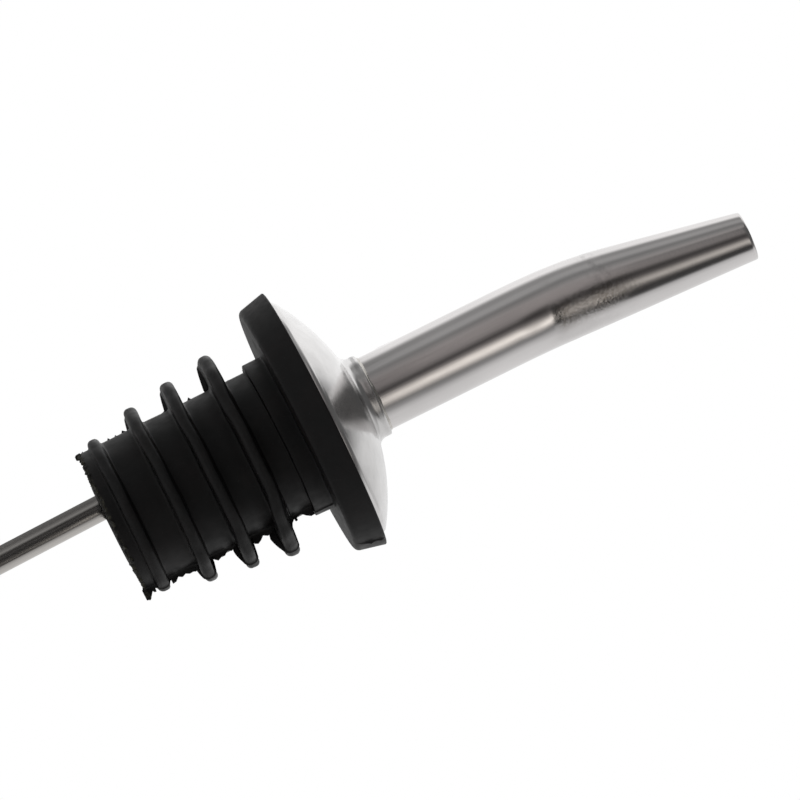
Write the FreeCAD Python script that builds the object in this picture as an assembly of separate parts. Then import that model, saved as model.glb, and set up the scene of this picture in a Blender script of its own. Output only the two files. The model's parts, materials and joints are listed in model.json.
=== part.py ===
import FreeCAD, Part
import math
import os

# Free-flow liquor pour spout: a bent steel spout whose lower end is the stem, a pressed
# dome cap, a breather tube inside the stem and a ribbed rubber stopper on the outside.
#
# Frame: millimetres, origin on the stopper's axis in the plane of the flange's underside,
# which sits on the bottle's lip. +Z runs up the spout to the pouring tip. The spout
# bends towards +X, and the breather and its vent are on the -X side, turned a little
# towards +Y.

# Stopper flange and the spigot under it
FLANGE_THICKNESS = 3.4
FLANGE_TOP_RADIUS = 15.4
FLANGE_DRAFT = 0.8            # how much smaller the flange is at its underside
FLANGE_EDGE_ROUND = 0.65
SPIGOT_RADIUS = 9.2
SPIGOT_LENGTH = 2.2

# Stopper body and its sealing ribs, from the lower end up: (height, radius, width)
BODY_RADIUS = 8.45
BODY_LENGTH = 23.0
RIBS = [(-20.6, 9.3, 1.4), (-15.55, 10.6, 1.4), (-10.75, 11.35, 1.4), (-5.7, 12.1, 1.5)]
RIB_TIP_SHARE = 0.22          # tip round as a share of the rib's width
RIB_ROOT_ROUND = 0.35
BODY_END_ROUND = 0.3
BORE_CLEARANCE = 0.04         # radial, between the stopper's bore and the stem

# Spout tube: straight stem and neck, a gentle bend, and a swaged taper to the tip
TUBE_RADIUS = 4.35
TUBE_WALL = 0.4
STEM_END_Z = -22.4
BEND_START_Z = 26.2
BEND_RADIUS = 100.0
BEND_ANGLE = 7.0              # degrees, towards +X
TAPER_START_ANGLE = 5.2       # degrees into the bend where the swaging begins
TIP_RADIUS = 2.8
TIP_WALL = 0.45
TIP_Z = 54.35                 # height of the tip's centre
TIP_CUT_ANGLE = 2.5           # degrees, of the mouth's plane towards +X
TIP_OVERRUN = 1.0             # how far the swaged cone runs past the cut
TIP_EDGE_ROUND = 0.12

# Dome cap: pressed sheet with a short upright rim and a neck drawn up round the tube
DOME_RIM_RADIUS = 14.1
DOME_RIM_HEIGHT = 0.45
DOME_SPHERE_RADIUS = 24.8
DOME_SHEET = 0.45
DOME_EDGE_ROUND = 0.3
NECK_GAP = 0.02               # radial, filled by the braze when it is made
NECK_FILLET = 1.0
NECK_TOP_Z = 9.35
NECK_LIP_ROUND = 0.15

# Braze: a bevelled bead on the neck's lip and a ring round the breather in the vent
NECK_BRAZE_HEIGHT = 0.3
NECK_BRAZE_WIDTH = 0.3
VENT_BRAZE_GAP = 0.1
VENT_BRAZE_DEPTH = 0.5        # radial, from the tube's outside inwards

# Breather tube: upright against the stem's wall, turns out to the vent, leans in the bottle
BREATHER_RADIUS = 1.45
BREATHER_WALL = 0.35
BREATHER_END_Z = -56.0
BREATHER_WALL_GAP = 0.12      # between the breather and the inside of the spout tube
BREATHER_LEAN = 1.35          # degrees
BREATHER_LEAN_TOP_Z = -22.0
BREATHER_LEAN_BEND = 60.0
BREATHER_TURN = 25.0          # degrees about the axis, from -X towards +Y
VENT_BEND_START_Z = 8.6
VENT_BEND_RADIUS = 6.0
VENT_ANGLE = 40.0             # degrees from the spout's axis
VENT_RUN = 3.0                # long enough to pass right through the tube's wall

Z_AXIS = FreeCAD.Vector(0, 0, 1)


def at(x, z):
    """A point in the XZ plane, where every profile and centreline is drawn."""
    return FreeCAD.Vector(x, 0, z)


def line(start, end):
    return Part.LineSegment(start, end).toShape()


def arc(start, middle, end):
    return Part.Arc(start, middle, end).toShape()


def arc_about(centre, start, end):
    """The shorter arc from start to end about a centre."""
    radius = start.distanceToPoint(centre)
    outwards = (start - centre) + (end - centre)
    return arc(start, centre + outwards.normalize() * radius, end)


def rounded_outline(corners):
    """Closed wire through corners (x, z, round), each round an arc tangent to its two sides."""
    points = [at(x, z) for x, z, _ in corners]
    stretches = []
    for i, (_, _, radius) in enumerate(corners):
        corner = points[i]
        back = (points[i - 1] - corner).normalize()
        ahead = (points[(i + 1) % len(points)] - corner).normalize()
        if not radius:
            stretches.append((corner, None, corner))
            continue
        half_angle = back.getAngle(ahead) / 2
        setback = radius / math.tan(half_angle)
        centre = corner + (back + ahead).normalize() * (radius / math.sin(half_angle))
        middle = centre + (corner - centre).normalize() * radius
        stretches.append((corner + back * setback, middle, corner + ahead * setback))
    edges = []
    for i, (start, middle, end) in enumerate(stretches):
        if middle:
            edges.append(arc(start, middle, end))
        edges.append(line(end, stretches[(i + 1) % len(stretches)][0]))
    return Part.Wire(edges)


def revolved(wire):
    """The solid that a closed profile makes about the Z axis."""
    return Part.Face(wire).revolve(FreeCAD.Vector(), Z_AXIS, 360)


def disc(centre, direction, radius):
    return Part.Wire([Part.Circle(centre, direction, radius).toShape()])


def swept(path, radius):
    """A round rod along a path of tangent lines and arcs."""
    start = path[0].valueAt(path[0].FirstParameter)
    direction = path[0].tangentAt(path[0].FirstParameter)
    return Part.Wire(path).makePipeShell([disc(start, direction, radius)], True, False)


def make_stopper():
    """Rubber moulding: flange, spigot and body with ribs, and a bore for the stem."""
    bore = TUBE_RADIUS + BORE_CLEARANCE
    corners = [
        (bore, -BODY_LENGTH, 0),
        (BODY_RADIUS, -BODY_LENGTH, BODY_END_ROUND),
    ]
    for height, radius, width in RIBS:
        tip = width * RIB_TIP_SHARE
        corners.append((BODY_RADIUS, height - width / 2, RIB_ROOT_ROUND))
        corners.append((radius, height - width / 2, tip))
        corners.append((radius, height + width / 2, tip))
        corners.append((BODY_RADIUS, height + width / 2, RIB_ROOT_ROUND))
    corners += [
        (BODY_RADIUS, -SPIGOT_LENGTH, 0),
        (SPIGOT_RADIUS, -SPIGOT_LENGTH, 0),
        (SPIGOT_RADIUS, 0, 0),
        (FLANGE_TOP_RADIUS - FLANGE_DRAFT, 0, FLANGE_EDGE_ROUND),
        (FLANGE_TOP_RADIUS, FLANGE_THICKNESS, 0),
        (bore, FLANGE_THICKNESS, 0),
    ]
    return revolved(rounded_outline(corners))


def bend_point(angle):
    """Centreline point of the spout, angle degrees into its bend."""
    turn = math.radians(angle)
    return at(
        BEND_RADIUS * (1 - math.cos(turn)),
        BEND_START_Z + BEND_RADIUS * math.sin(turn),
    )


def bend_direction(angle):
    turn = math.radians(angle)
    return at(math.sin(turn), math.cos(turn))


def tip_point():
    """Centre of the pouring tip, on the straight run that follows the bend."""
    end = bend_point(BEND_ANGLE)
    direction = bend_direction(BEND_ANGLE)
    return end + direction * ((TIP_Z - end.z) / direction.z)


def spout_rod(radius, tip_radius):
    """The spout as a solid rod: straight, bent, bent and tapered, then a straight cone."""
    bend_start = bend_point(0)
    taper_start = bend_point(TAPER_START_ANGLE)
    bend_end = bend_point(BEND_ANGLE)
    tip = tip_point()
    tapered_arc = BEND_RADIUS * math.radians(BEND_ANGLE - TAPER_START_ANGLE)
    taper_length = tapered_arc + bend_end.distanceToPoint(tip)

    def radius_at(distance):
        return radius + (tip_radius - radius) * distance / taper_length

    cone_length = bend_end.distanceToPoint(tip) + TIP_OVERRUN

    straight = Part.makeCylinder(radius, BEND_START_Z - STEM_END_Z, at(0, STEM_END_Z))
    middle = bend_point(TAPER_START_ANGLE / 2)
    bent = swept([arc(bend_start, middle, taper_start)], radius)
    steps = 6
    sections = []
    for i in range(steps + 1):
        angle = TAPER_START_ANGLE + (BEND_ANGLE - TAPER_START_ANGLE) * i / steps
        size = radius_at(tapered_arc * i / steps)
        sections.append(disc(bend_point(angle), bend_direction(angle), size))
    swaged = Part.makeLoft(sections, True, False)
    cone = Part.makeCone(
        radius_at(tapered_arc),
        radius_at(tapered_arc + cone_length),
        cone_length,
        bend_end,
        bend_direction(BEND_ANGLE),
    )
    return straight.multiFuse([bent, swaged, cone])


def vent_direction():
    turn = math.radians(VENT_ANGLE)
    return at(-math.sin(turn), math.cos(turn))


def vent_bend_end():
    """Where the breather's outward bend ends and its short straight run starts."""
    turn = math.radians(VENT_ANGLE)
    return at(
        -breather_offset() - VENT_BEND_RADIUS * (1 - math.cos(turn)),
        VENT_BEND_START_Z + VENT_BEND_RADIUS * math.sin(turn),
    )


def breather_offset():
    """How far the breather's upright run lies from the spout's axis."""
    return TUBE_RADIUS - TUBE_WALL - BREATHER_WALL_GAP - BREATHER_RADIUS


def breather_path():
    """Centreline from the lower end to just outside the spout tube's wall, in the XZ plane."""
    lean = math.radians(BREATHER_LEAN)
    upright_x = -breather_offset()
    bend_centre = at(upright_x + BREATHER_LEAN_BEND, BREATHER_LEAN_TOP_Z)
    lean_top = bend_centre + at(-math.cos(lean), -math.sin(lean)) * BREATHER_LEAN_BEND
    run = (lean_top.z - BREATHER_END_Z) / math.cos(lean)
    lower_end = lean_top + at(math.sin(lean), -math.cos(lean)) * run
    upright_start = at(upright_x, BREATHER_LEAN_TOP_Z)
    upright_end = at(upright_x, VENT_BEND_START_Z)
    vent_bend_centre = at(upright_x - VENT_BEND_RADIUS, VENT_BEND_START_Z)
    run_start = vent_bend_end()
    return [
        line(lower_end, lean_top),
        arc_about(bend_centre, lean_top, upright_start),
        line(upright_start, upright_end),
        arc_about(vent_bend_centre, upright_end, run_start),
        line(run_start, run_start + vent_direction() * VENT_RUN),
    ]


def turned(shape):
    """A shape from the XZ plane, turned about the axis to where the breather is."""
    return shape.rotated(FreeCAD.Vector(), Z_AXIS, -BREATHER_TURN)


def make_breather_tube():
    """Air tube, open at its lower end and ground flush with the spout where it comes out."""
    path = breather_path()
    tube = swept(path, BREATHER_RADIUS).cut(swept(path, BREATHER_RADIUS - BREATHER_WALL))
    envelope_height = TIP_Z - BREATHER_END_Z
    envelope = Part.makeCylinder(TUBE_RADIUS, 2 * envelope_height, at(0, -envelope_height))
    return turned(tube.common(envelope))


def vent_cutter():
    """The breather's way out through the spout tube's wall, with room for the braze."""
    vent_bend, vent_run = breather_path()[-2:]
    return swept([vent_bend, vent_run], BREATHER_RADIUS + VENT_BRAZE_GAP)


def tip_cutter():
    """Everything past the plane of the spout's mouth."""
    direction = bend_direction(TIP_CUT_ANGLE)
    return Part.makeCylinder(2 * TIP_RADIUS, 2 * TIP_OVERRUN, tip_point(), direction)


def make_spout_tube():
    """One tube: stem, neck, bend and swaged taper, with the vent in its wall."""
    outside = spout_rod(TUBE_RADIUS, TIP_RADIUS)
    bore = spout_rod(TUBE_RADIUS - TUBE_WALL, TIP_RADIUS - TIP_WALL)
    tube = outside.cut(bore).cut(tip_cutter()).removeSplitter()
    tip = tip_point()
    tip_edges = [
        edge for edge in tube.Edges
        if edge.CenterOfMass.distanceToPoint(tip) < TIP_EDGE_ROUND
    ]
    return tube.makeFillet(TIP_EDGE_ROUND, tip_edges).cut(turned(vent_cutter()))


def dome_profile(inset):
    """Corner, tangent and end points of one side of the dome's sheet, inset from outside."""
    rim_top = FLANGE_THICKNESS + DOME_RIM_HEIGHT
    sphere_z = rim_top - math.sqrt(DOME_SPHERE_RADIUS ** 2 - DOME_RIM_RADIUS ** 2)
    neck_outside = TUBE_RADIUS + NECK_GAP + DOME_SHEET
    sphere = DOME_SPHERE_RADIUS - inset
    fillet = NECK_FILLET + inset
    neck = neck_outside - inset
    rim = DOME_RIM_RADIUS - inset
    sphere_centre = at(0, sphere_z)
    across = neck + fillet
    fillet_centre = at(across, sphere_z + math.sqrt((sphere + fillet) ** 2 - across ** 2))
    towards_fillet = (fillet_centre - sphere_centre).normalize()
    shoulder = at(rim, sphere_z + math.sqrt(sphere ** 2 - rim ** 2))
    tangent = sphere_centre + towards_fillet * sphere
    neck_foot = at(neck, fillet_centre.z)
    return sphere_centre, fillet_centre, shoulder, tangent, neck_foot


def make_dome_cap():
    """Pressed cap, hollow underneath, that covers the flange and grips the tube at its neck."""
    sides = []
    for inset in (0, DOME_SHEET):
        sphere_centre, fillet_centre, shoulder, tangent, neck_foot = dome_profile(inset)
        sides.append([
            line(at(shoulder.x, FLANGE_THICKNESS), shoulder),
            arc_about(sphere_centre, shoulder, tangent),
            arc_about(fillet_centre, tangent, neck_foot),
            line(neck_foot, at(neck_foot.x, NECK_TOP_Z)),
        ])
    outside_x, inside_x = [side[-1].Vertexes[-1].X for side in sides]
    rim_x = [side[0].Vertexes[0].X for side in sides]
    lip = line(at(outside_x, NECK_TOP_Z), at(inside_x, NECK_TOP_Z))
    foot = line(at(rim_x[1], FLANGE_THICKNESS), at(rim_x[0], FLANGE_THICKNESS))
    dome = revolved(Part.Wire(sides[0] + [lip] + sides[1][::-1] + [foot]))

    def circles_at(radius, height):
        return [
            edge for edge in dome.Edges
            if isinstance(edge.Curve, Part.Circle)
            and abs(edge.Curve.Radius - radius) < 0.001
            and abs(edge.CenterOfMass.z - height) < 0.001
        ]

    shoulder_edges = circles_at(DOME_RIM_RADIUS, FLANGE_THICKNESS + DOME_RIM_HEIGHT)
    dome = dome.makeFillet(DOME_EDGE_ROUND, shoulder_edges)
    return dome.makeFillet(NECK_LIP_ROUND, circles_at(outside_x, NECK_TOP_Z))


def make_neck_braze_ring():
    """Small bevelled bead of braze between the neck's lip and the spout tube."""
    return revolved(rounded_outline([
        (TUBE_RADIUS, NECK_TOP_Z, 0),
        (TUBE_RADIUS + NECK_BRAZE_WIDTH, NECK_TOP_Z, 0),
        (TUBE_RADIUS, NECK_TOP_Z + NECK_BRAZE_HEIGHT, 0),
    ]))


def make_vent_braze_ring():
    """Ring of braze that fills the gap round the breather and seals the vent."""
    height = TIP_Z
    wall = Part.makeCylinder(TUBE_RADIUS, height)
    wall = wall.cut(Part.makeCylinder(TUBE_RADIUS - VENT_BRAZE_DEPTH, height))
    return turned(vent_cutter().common(wall).cut(swept(breather_path(), BREATHER_RADIUS)))


SUB_PARTS = {
    "stopper": make_stopper,
    "spout_tube": make_spout_tube,
    "dome_cap": make_dome_cap,
    "breather_tube": make_breather_tube,
    "neck_braze_ring": make_neck_braze_ring,
    "vent_braze_ring": make_vent_braze_ring,
}

os.makedirs("parts", exist_ok=True)
for node, make in SUB_PARTS.items():
    shape = make()
    shape.exportStep("parts/" + node + ".step")
    print(node, shape.ShapeType, len(shape.Solids), shape.isValid(), round(shape.Volume, 2))
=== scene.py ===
import json
import math

import bpy
import numpy as np
from mathutils import Matrix, Vector


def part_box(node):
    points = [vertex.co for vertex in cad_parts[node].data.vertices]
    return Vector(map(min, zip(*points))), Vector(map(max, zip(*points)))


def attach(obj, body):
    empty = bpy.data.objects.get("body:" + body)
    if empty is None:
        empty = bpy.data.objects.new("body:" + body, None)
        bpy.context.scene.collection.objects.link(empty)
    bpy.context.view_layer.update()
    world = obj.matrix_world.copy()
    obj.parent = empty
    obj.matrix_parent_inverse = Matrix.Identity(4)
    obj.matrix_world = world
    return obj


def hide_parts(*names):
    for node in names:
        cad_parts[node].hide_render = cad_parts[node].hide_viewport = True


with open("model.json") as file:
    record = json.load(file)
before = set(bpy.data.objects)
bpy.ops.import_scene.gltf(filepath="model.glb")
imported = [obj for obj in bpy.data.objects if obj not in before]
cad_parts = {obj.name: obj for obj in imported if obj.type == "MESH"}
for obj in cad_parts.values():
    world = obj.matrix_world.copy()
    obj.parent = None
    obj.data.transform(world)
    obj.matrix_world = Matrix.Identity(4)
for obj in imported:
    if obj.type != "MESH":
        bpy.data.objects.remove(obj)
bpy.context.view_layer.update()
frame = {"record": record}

# Visual model of a liquor pour spout: its six pieces, their materials and a studio.
# Lengths are in millimetres until a mesh or the camera is made, and angles in degrees.
MM = 0.001
MOUNTS = {mount["name"]: mount for mount in frame["record"]["mounts"]}
SHARP_ANGLE = 40.0            # edges between faces that turn more than this are drawn sharp
ARC_STEP = 15.0               # degrees that a rounded corner turns in one step at most

# Points round each turned or swept piece
STOPPER_COLUMNS = 300
SPOUT_COLUMNS = 240
DOME_COLUMNS = 256
BREATHER_COLUMNS = 72
NECK_BRAZE_COLUMNS = 192
VENT_BRAZE_COLUMNS = 96

# Stopper: flange, spigot and body as the CAD has them, ribs from their mounts
FLANGE_TOP_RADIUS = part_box("stopper")[1].x / MM
FLANGE_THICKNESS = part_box("stopper")[1].z / MM
BODY_END_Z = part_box("stopper")[0].z / MM
FLANGE_DRAFT = 0.8
FLANGE_EDGE_ROUND = 0.65
SPIGOT_RADIUS = 9.2
SPIGOT_LENGTH = 2.2
BODY_RADIUS = 8.45
BORE_RADIUS = 4.39
RIB_NAMES = ["seal_rib_end", "seal_rib_second", "seal_rib_third", "seal_rib_top"]
RIB_LAND_SHARE = 0.56         # the mount's length as a share of the rib's width
RIB_TIP_SHARE = 0.4           # the crest's rounding, as a share of the rib's width
RIB_ROOT_ROUND = 0.35
RIB_SWAY = 0.5                # how far the top rib droops on the side the spout bends to
# Waves in the moulding, (height, wavelength): in the walls, sideways and up and down, and in
# the ribs, inwards and up and down
WALL_WAVES = (0.035, 5.0)
LEVEL_WAVES = (0.03, 4.0)
CREST_WAVES = (0.05, 3.0)
RIB_WAVES = (0.1, 7.0)
FLASH_ANGLE = -18.0           # of the mould's parting plane, from +X towards -Y
FLASH_WIDTH = 0.16
FLASH_ON_BODY = 1.1
FLASH_ON_CRESTS = 0.15
FLASH_ON_FLANGE = 0.5
FLASH_ON_SIDES = [(0.1, 0.1), (0.5, 0.5), (0.75, 0.5), (1.15, 0.45)]  # below, above each rib
STOPPER_STEP = 0.42           # mesh step along the outline
TORN_STEP = 0.14              # the same over the torn lower end
BORE_MIDDLE = 12.6            # half the length of the bore's stretch that keeps few points
BORE_KEEPS = 6                # one point in so many is kept there
TORN_DEPTH = 0.2
TORN_SLANT = 0.5              # how much shorter the body is on its +Y side
TORN_LIP = 0.33               # how far the torn rim's ragged lip stands out
TORN_SPUR = 0.95              # the same for its one spur, on the +X side
TORN_TEARS = 0.16             # how far the rim goes up and down along its tears

# Spout tube along its centreline, where distance is height up to the bend
TUBE_RADIUS = 4.35
TUBE_WALL = 0.4
STEM_END_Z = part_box("spout_tube")[0].z / MM
BEND_CENTRE = 32.3
BEND_LENGTH = 17.0
BEND_ANGLE = 7.0
TAPER_START = 35.2
TAPER_SOFTNESS = 1.8
TIP_RADIUS = 2.8
TIP_WALL = 0.45
TIP_Z = MOUNTS["pour_outlet"]["pos_m"][2] / MM
TIP_CUT_ANGLE = 2.5
TIP_CUT_REACH = 1.5           # how much of the tip is drawn out to its slanted cut
# Distance between the mesh's rings up to a place on the tube, and the number above the last one
SPOUT_RINGS = [(24.0, 0.8), (30.4, 0.35), (41.0, 0.12)]
TIP_RING_COUNT = 40
INSIDE_KEEPS = 4              # one ring in so many is enough for the plain inside
# Marks of the swaging tool: a worked patch (angle from +X, half width, fade) where a slow
# waist ends in a steep step (start, edge, end, depth), and rings with half widths and depths
SWAGE_PATCH = (-70.0, 16.0, 18.0)
SWAGE_STEP = (26.5, 30.7, 32.2, 0.026)
SWAGE_RINGS = [(36.4, 0.5, 0.0015), (37.6, 0.4, 0.0012)]
SWAGE_GRAIN = 0.0018          # height of the sandy grain
SWAGE_SANDY = (32.0, 1.4, 35.5, 5.5)  # where the grain starts and fades, each with its length

# Dome cap
DOME_RIM_RADIUS = 14.1
DOME_RIM_HEIGHT = 0.45
DOME_SPHERE_RADIUS = 24.8
DOME_SHEET = 0.45
NECK_FILLET = 1.0
NECK_TOP_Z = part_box("dome_cap")[1].z / MM
CLEARANCE = 0.02              # left between pieces that touch

# Breather tube and the vent it comes out of, drawn in the XZ plane and then turned
BREATHER_RADIUS = 1.45
BREATHER_WALL = 0.35
BREATHER_END_Z = -56.0
BREATHER_OFFSET = 2.38
BREATHER_LEAN = 1.35
BREATHER_LEAN_TOP_Z = -22.0
BREATHER_LEAN_BEND = 60.0
BREATHER_TURN = -25.0         # degrees about the Z axis, from -X towards +Y
VENT_BEND_START_Z = 8.6
VENT_BEND_RADIUS = 6.0
VENT_ANGLE = 40.0
VENT_HOLE_RADIUS = 1.55
VENT_CUT_REACH = 7.8          # how far the vent's cutter goes, clear of the tube
VENT_FAR = 9.0                # farther along than any wall that the breather's way meets

# Camera: level with the spout's side, slightly below it, as far off as a long lens stands
CAMERA_TARGET = (1.87, 0.0, 11.77)
CAMERA_DISTANCE = 790.0
CAMERA_BELOW = 3.7            # degrees under the spout's horizon
CAMERA_FIELD = 88.0           # millimetres across the picture at the target
AXIS_IN_PICTURE = 26.4        # degrees from the picture's horizontal to the spout's axis
SENSOR = 36.0
CLIP_NEAR = 50.0
CLIP_FAR = 20000.0

# Floor, just under the breather's end
FLOOR_RADIUS = 850.0
FLOOR_CORNERS = 96
FLOOR_GAP = 0.4


# ---------------------------------------------------------------- shapes

def smoothstep(x):
    """From 0 to 1 as x goes from 0 to 1, flat at both ends and beyond."""
    x = np.clip(x, 0, 1)
    return x * x * (3 - 2 * x)


def softplus(x, softness):
    """A corner at x = 0 between flat and a slope of one, rounded over the softness."""
    return softness * np.logaddexp(0, x / softness)


def ripple(angle, low, high, seed):
    """A random curve round a circle, made of waves from low to high turns, about -1 to 1."""
    rng = np.random.default_rng(seed)
    total = np.zeros_like(angle)
    for turns in range(low, high + 1):
        total += rng.normal() * np.sin(turns * angle + rng.uniform(0, 2 * np.pi))
    return total / math.sqrt((high - low + 1) / 2) / 2


def rumple(points, wavelength, seed, waves=28):
    """Smooth random values in space for an array of points, about -1 to 1."""
    rng = np.random.default_rng(seed)
    total = np.zeros(points.shape[:-1])
    for _ in range(waves):
        direction = rng.normal(size=3)
        direction /= np.linalg.norm(direction)
        length = wavelength * rng.uniform(0.7, 1.5)
        total += np.sin(points @ direction * (2 * np.pi / length) + rng.uniform(0, 2 * np.pi))
    return total / math.sqrt(waves / 2) / 1.6


def rounded_corner(place, before, after, radius):
    """Points of the arc that touches both sides of a corner."""
    back = before - place
    ahead = after - place
    back /= np.linalg.norm(back)
    ahead /= np.linalg.norm(ahead)
    half = math.acos(np.clip(back @ ahead, -1, 1)) / 2
    bisector = (back + ahead) / np.linalg.norm(back + ahead)
    centre = place + bisector * radius / math.sin(half)
    start = place + back * radius / math.tan(half) - centre
    end = place + ahead * radius / math.tan(half) - centre
    turn = math.atan2(start[0] * end[1] - start[1] * end[0], start @ end)
    count = max(3, math.ceil(abs(turn) / math.radians(ARC_STEP)))
    return [
        centre + [
            start[0] * math.cos(a) - start[1] * math.sin(a),
            start[0] * math.sin(a) + start[1] * math.cos(a),
        ]
        for a in [turn * k / count for k in range(count + 1)]
    ]


def outline(corners, step):
    """Closed polyline through corners (r, z, round), with arcs at the rounded ones.

    A fourth number in a corner is the step of the stretch that follows it.
    """
    places = [np.array(corner[:2], float) for corner in corners]
    stretches = []
    for i, corner in enumerate(corners):
        if corner[2]:
            after = places[(i + 1) % len(places)]
            stretches.append(rounded_corner(places[i], places[i - 1], after, corner[2]))
        else:
            stretches.append([places[i]])
    points = []
    for i, stretch in enumerate(stretches):
        points += stretch
        gap = stretches[(i + 1) % len(stretches)][0] - stretch[-1]
        own_step = corners[i][3] if len(corners[i]) > 3 else step
        parts = max(1, round(np.linalg.norm(gap) / own_step))
        points += [stretch[-1] + gap * k / parts for k in range(1, parts)]
    return np.array(points)


def shade(mesh):
    """Smooth shading, but for the edges that turn sharply."""
    mesh.shade_smooth()
    mesh.set_sharp_from_angle(angle=math.radians(SHARP_ANGLE))


def mesh_object(name, vertices, faces, attributes=None):
    """A smooth-shaded mesh object from points in millimetres, with named point values."""
    mesh = bpy.data.meshes.new(name)
    mesh.from_pydata((np.asarray(vertices) * MM).tolist(), [], faces)
    for key, values in (attributes or {}).items():
        layer = mesh.attributes.new(key, "FLOAT", "POINT")
        layer.data.foreach_set("value", np.asarray(values, np.float32).ravel())
    mesh.validate()
    mesh.update()
    piece = bpy.data.objects.new(name, mesh)
    bpy.context.scene.collection.objects.link(piece)
    shade(mesh)
    return piece


def grid_faces(rows, columns):
    """Quads of a grid that closes on itself both ways, facing out for a lathed outline."""
    faces = []
    for i in range(rows):
        below = (i + 1) % rows
        for j in range(columns):
            beside = (j + 1) % columns
            faces.append((
                i * columns + j,
                i * columns + beside,
                below * columns + beside,
                below * columns + j,
            ))
    return faces


def lathed(name, radii, heights, angles, attributes=None):
    """A closed outline turned about the Z axis; radii and heights are (outline, angle) grids."""
    points = np.stack([radii * np.cos(angles), radii * np.sin(angles), heights], -1)
    faces = grid_faces(*radii.shape)
    return mesh_object(name, points.reshape(-1, 3), faces, attributes)


def even_angles(count):
    """A full turn in equal steps."""
    return np.arange(count) * 2 * np.pi / count


# ---------------------------------------------------------------- stopper

def stopper_angles():
    """Even steps, with closer ones at the two mould lines where the flash stands."""
    fine = np.radians([-1.6, -1.1, -0.75, -0.45, -0.2, 0.2, 0.45, 0.75, 1.1, 1.6])
    fine += math.radians(FLASH_ANGLE)
    near_lines = np.concatenate([fine, fine + np.pi]) % (2 * np.pi)
    return np.unique(np.round(np.concatenate([even_angles(STOPPER_COLUMNS), near_lines]), 6))


def stopper_outline():
    corners = [
        (BORE_RADIUS, BODY_END_Z, 0.1, TORN_STEP),
        (BODY_RADIUS, BODY_END_Z, 0.1, TORN_STEP),
    ]
    for name in RIB_NAMES:
        mount = MOUNTS[name]
        height = mount["pos_m"][2] / MM
        radius = mount["dims"]["r_mm"]
        width = mount["dims"]["length_mm"] / RIB_LAND_SHARE
        tip = width * RIB_TIP_SHARE
        root = min(RIB_ROOT_ROUND, 0.9 * (radius - BODY_RADIUS - tip))
        corners += [
            (BODY_RADIUS, height - width / 2, root),
            (radius, height - width / 2, tip),
            (radius, height + width / 2, tip),
            (BODY_RADIUS, height + width / 2, root),
        ]
    corners += [
        (BODY_RADIUS, -SPIGOT_LENGTH, 0.12),
        (SPIGOT_RADIUS, -SPIGOT_LENGTH, 0.1),
        (SPIGOT_RADIUS, 0.0, 0.15),
        (FLANGE_TOP_RADIUS - FLANGE_DRAFT, 0.0, FLANGE_EDGE_ROUND),
        (FLANGE_TOP_RADIUS, FLANGE_THICKNESS, 0.12),
        (BORE_RADIUS, FLANGE_THICKNESS, 0.2),
    ]
    return outline(corners, STOPPER_STEP)


def thin_bore(profile):
    """The outline without most of its points on the straight bore, which nothing bends."""
    on_bore = profile[:, 0] < BORE_RADIUS + 0.001
    inner = np.abs(profile[:, 1] - (BODY_END_Z + FLANGE_THICKNESS) / 2) < BORE_MIDDLE
    keep = ~(on_bore & inner) | (np.arange(len(profile)) % BORE_KEEPS == 0)
    return profile[keep]


def moulded(r0, z0, base):
    """Radii and heights with broad waves in every wall, and ribs that wander and droop a little."""
    outside = smoothstep((r0 - BORE_RADIUS - 0.8) / 1.5)
    on_ribs = (r0 > BODY_RADIUS + 0.2) * (z0 < -SPIGOT_LENGTH - 0.1)
    wavy = outside * (r0 < FLANGE_TOP_RADIUS - 1.5)
    height, wavelength = WALL_WAVES
    radii = r0 + wavy * height * rumple(base, wavelength, 11)
    height, wavelength = LEVEL_WAVES
    heights = z0 + wavy * (z0 < FLANGE_THICKNESS - 0.2) * height * rumple(base, wavelength, 12)
    height, wavelength = CREST_WAVES
    radii = radii - on_ribs * height * (1 + rumple(base, wavelength, 13))
    height, wavelength = RIB_WAVES
    lift = smoothstep((r0 - BODY_RADIUS) / 1.2) * on_ribs
    heights = heights + lift * height * rumple(base * [1, 1, 0.3], wavelength, 14)
    top_rib_z = MOUNTS["seal_rib_top"]["pos_m"][2] / MM
    top_rib = np.exp(-((z0 - top_rib_z) / 1.9) ** 4)
    heights = heights - RIB_SWAY * top_rib * lift * smoothstep((base[:, :, 0] - 3.5) / 4.5)
    return radii, heights


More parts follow.
